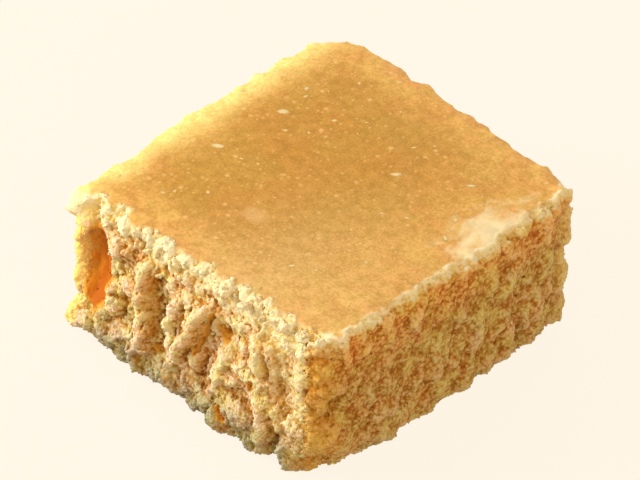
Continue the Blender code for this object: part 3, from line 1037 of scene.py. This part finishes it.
def crumb_material():
    made = Shader("barfi_crumb_look")
    skin = made.attribute("skin")
    grain = made.cells(GRAIN_SCALE)
    satin = made.total(0.46, (made.noise(420.0, 3.0), 0.24))
    sandy = made.total(0.0, (made.noise(4600.0), 0.5), (grain.outputs["Distance"], -1.0))
    smooth = made.product(made.noise(900.0, 4.0), 0.25)
    height = made.mix_number(skin, made.product(sandy, sandiness(made)), smooth)
    made.put(
        Base_Color=made.mix(skin, wall_colour(made, grain), skin_colour(made)),
        Roughness=made.mix_number(skin, 0.66, satin),
        Specular_IOR_Level=0.12,
        Normal=made.bump(height, 1.0, 0.22 * MM),
    )
    soften(made, 0.15)
    return made.material


def fleck_material():
    made = Shader("barfi_fleck_look")
    middle = made.total(made.attribute("middle"), (made.noise(2500.0, 3.0), 0.5))
    made.put(
        Base_Color=made.mix(made.ramp(middle, 0.35, 1.05), *FLECK_COLOURS),
        Roughness=made.mix_number(made.noise(1800.0), 0.40, 0.60),
        Specular_IOR_Level=0.25,
        Normal=made.bump(made.noise(5000.0), 0.4, 0.05 * MM),
    )
    soften(made, 0.4)
    return made.material


def camera():
    across, up = math.radians(AZIMUTH), math.radians(ELEVATION)
    back = Vector((math.sin(across) * math.cos(up), -math.cos(across) * math.cos(up), math.sin(up)))
    level = Vector((math.cos(across), math.sin(across), 0.0))
    turned = Matrix.Rotation(math.radians(ROLL), 3, back)
    right = turned @ level
    above = turned @ back.cross(level)
    spot = Vector(LOOKS_AT) + back * DISTANCE + right * ASIDE + above * RAISED
    lens = bpy.data.cameras.new("camera")
    lens.sensor_fit = "HORIZONTAL"
    lens.sensor_width = SENSOR_WIDTH
    lens.lens = FOCAL
    lens.clip_start = NEAREST_SEEN * MM
    lens.clip_end = FARTHEST_SEEN * MM
    eye = link(bpy.data.objects.new("camera", lens))
    turn = Matrix((right, above, back)).transposed()
    eye.matrix_world = Matrix.Translation(spot * MM) @ turn.to_4x4()
    bpy.context.scene.camera = eye


def soft_light(name, direction, distance, size, power, colour):
    """A square lamp that faces the sweet from this direction."""
    lamp = bpy.data.lights.new(name, "AREA")
    lamp.size = size * MM
    lamp.energy = power
    lamp.color = colour
    holder = link(bpy.data.objects.new(name, lamp))
    away = Vector(direction).normalized()
    holder.location = (Vector(LOOKS_AT) + away * distance) * MM
    holder.rotation_euler = away.to_track_quat("Z", "Y").to_euler()


def surroundings():
    world = bpy.data.worlds.new("world")
    world.use_nodes = True
    sky = world.node_tree.nodes["Background"]
    sky.inputs["Color"].default_value = SKY_COLOUR
    sky.inputs["Strength"].default_value = SKY_STRENGTH
    bpy.context.scene.world = world
    bpy.context.scene.view_settings.view_transform = "Standard"
    for lamp in LAMPS:
        soft_light(*lamp)


def floor():
    half = FLOOR_HALF * MM
    mesh = bpy.data.meshes.new("floor")
    corners = [(-half, -half, 0), (half, -half, 0), (half, half, 0), (-half, half, 0)]
    mesh.from_pydata(corners, [], [(0, 1, 2, 3)])
    made = Shader("floor_paper")
    made.put(
        Base_Color=FLOOR_COLOUR,
        Roughness=1.0,
        Specular_IOR_Level=0.0,
        Emission_Color=FLOOR_GLOW,
        Emission_Strength=FLOOR_GLOW_STRENGTH,
    )
    mesh.materials.append(made.material)
    plane = link(bpy.data.objects.new("floor", mesh))
    plane.visible_diffuse = False


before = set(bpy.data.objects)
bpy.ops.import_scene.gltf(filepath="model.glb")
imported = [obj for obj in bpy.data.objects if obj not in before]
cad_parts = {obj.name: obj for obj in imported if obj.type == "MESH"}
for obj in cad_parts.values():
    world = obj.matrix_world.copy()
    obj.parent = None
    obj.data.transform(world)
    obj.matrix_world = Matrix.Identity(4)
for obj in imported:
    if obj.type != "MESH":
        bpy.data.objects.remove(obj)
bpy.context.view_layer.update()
camera()
surroundings()
floor()
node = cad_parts["barfi"]
sweet = body(node)
grains = loose_grains("barfi_grains", sweet)
flecks = loose_flecks("barfi_flecks", sweet)
look = crumb_material()
fleck_look = fleck_material()
for piece in (sweet, grains, flecks):
    piece.data.materials.append(fleck_look if piece is flecks else look)
    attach(piece, "root")
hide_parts("barfi")
